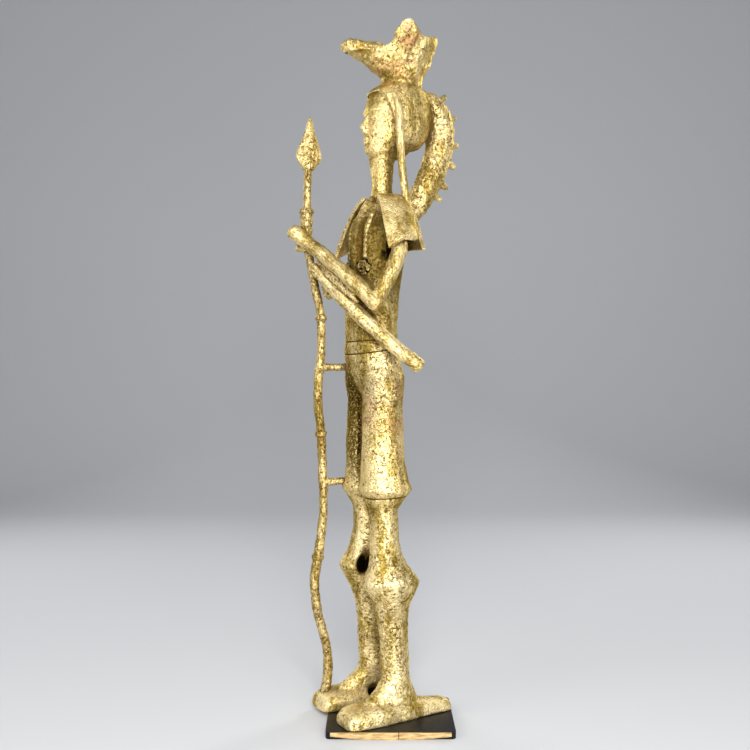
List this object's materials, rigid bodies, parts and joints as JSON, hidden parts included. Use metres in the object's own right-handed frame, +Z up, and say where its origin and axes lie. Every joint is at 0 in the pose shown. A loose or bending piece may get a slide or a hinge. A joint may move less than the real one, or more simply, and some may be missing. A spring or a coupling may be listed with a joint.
{
  "type": "standing bronze figure",
  "caption": "Slim cast-bronze warrior standing on a thin plate, with a flaring crown and a plait, holding a wavy spear and a club.",
  "frame": {"origin": "on the flat underside of the plate, below the middle between the ankles", "axes": "+Z up; the figure faces -Y; +X is the figure's left"},
  "size_m": [0.1314, 0.1612, 0.6079],
  "materials": {
    "bronze": "cast bronze, pitted, golden on the ridges and brown in the hollows",
    "lacquer": "thin dark lacquered plate",
    "lipping": "pale bare strip along the plate's near edge"
  },
  "bodies": {
    "root": {"base_lipping_long": "lipping", "base_lipping_short": "lipping", "base_plate": "lacquer", "belt": "bronze", "cape_back": "bronze", "cape_left": "bronze", "cape_right": "bronze", "chest_coil_left": "bronze", "chest_coil_right": "bronze", "chest_strap_left": "bronze", "chest_strap_right": "bronze", "club": "bronze", "crown": "bronze", "crown_band": "bronze", "foot_left": "bronze", "foot_right": "bronze", "forearm_left": "bronze", "forearm_right": "bronze", "hair_cap": "bronze", "hand_left": "bronze", "hand_right": "bronze", "head": "bronze", "leg_left": "bronze", "leg_right": "bronze", "peg_lower": "bronze", "peg_upper": "bronze", "plait": "bronze", "plait_knob_1": "bronze", "plait_knob_2": "bronze", "plait_knob_3": "bronze", "plait_knob_4": "bronze", "plait_knob_5": "bronze", "plait_knob_6": "bronze", "spear_binding": "bronze", "spear_head": "bronze", "spear_knot_lower": "bronze", "spear_knot_middle": "bronze", "spear_knot_upper": "bronze", "spear_ring": "bronze", "spear_shaft": "bronze", "strand_left": "bronze", "strand_right": "bronze", "trousers": "bronze", "trunk": "bronze", "upper_arm_left": "bronze", "upper_arm_right": "bronze"}
  },
  "joints": []
}
